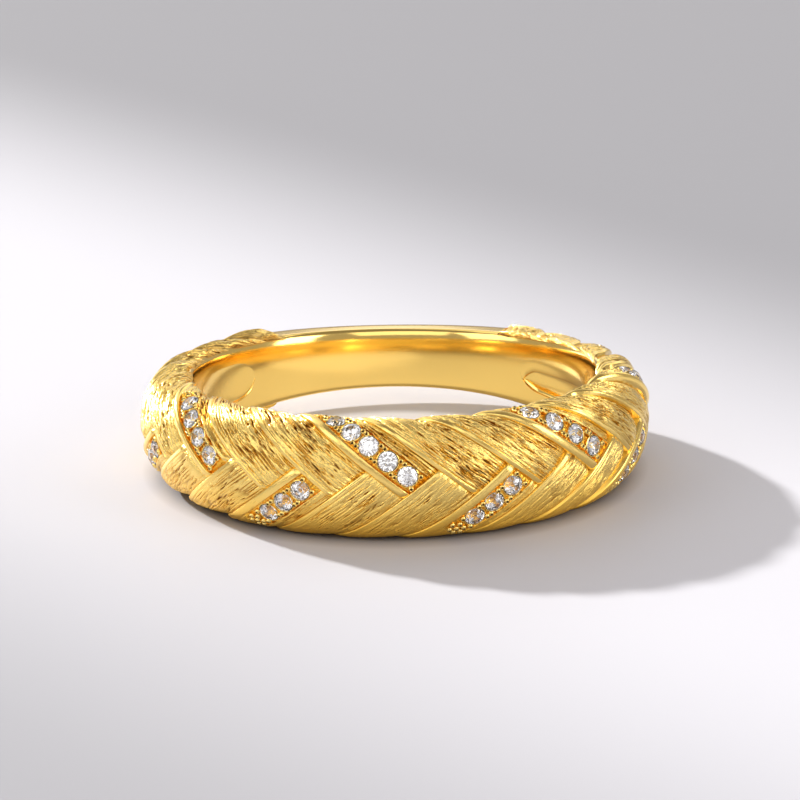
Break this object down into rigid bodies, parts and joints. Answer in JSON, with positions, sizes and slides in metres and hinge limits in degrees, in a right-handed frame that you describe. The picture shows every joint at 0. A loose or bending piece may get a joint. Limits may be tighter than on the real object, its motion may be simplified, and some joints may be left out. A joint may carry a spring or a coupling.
{
  "type": "braided band ring",
  "caption": "Cast gold ring with a domed herringbone braid round the front, small round stones set in one strand of it, a hollow back and a plain polished shank.",
  "frame": {"origin": "on the axis of the finger hole, halfway between the band's two edges", "axes": "+Z along the finger hole, -Y toward the widest part of the braid, which is the front, +X to the right seen from the front; the ring lies on its side, lower edge down"},
  "size_m": [0.022, 0.0212, 0.0051],
  "materials": {
    "gold": "yellow gold plate, brushed along the plaits, polished on bevels, shank and inner wall",
    "stone": "clear faceted stone, polished"
  },
  "bodies": {
    "root": {"band": "gold", "stone_lower_1_1": "stone", "stone_lower_1_2": "stone", "stone_lower_1_3": "stone", "stone_upper_2_1": "stone", "stone_upper_2_2": "stone", "stone_upper_2_3": "stone", "stone_upper_2_4": "stone", "stone_lower_3_1": "stone", "stone_lower_3_2": "stone", "stone_lower_3_3": "stone", "stone_upper_4_1": "stone", "stone_upper_4_2": "stone", "stone_upper_4_3": "stone", "stone_upper_4_4": "stone", "stone_upper_4_5": "stone", "stone_lower_5_1": "stone", "stone_lower_5_2": "stone", "stone_lower_5_3": "stone", "stone_upper_6_1": "stone", "stone_upper_6_2": "stone", "stone_upper_6_3": "stone", "stone_upper_6_4": "stone", "stone_lower_7_1": "stone", "stone_lower_7_2": "stone", "stone_lower_7_3": "stone", "stone_upper_8_1": "stone", "stone_upper_8_2": "stone", "stone_upper_8_3": "stone", "stone_upper_8_4": "stone"}
  },
  "joints": []
}
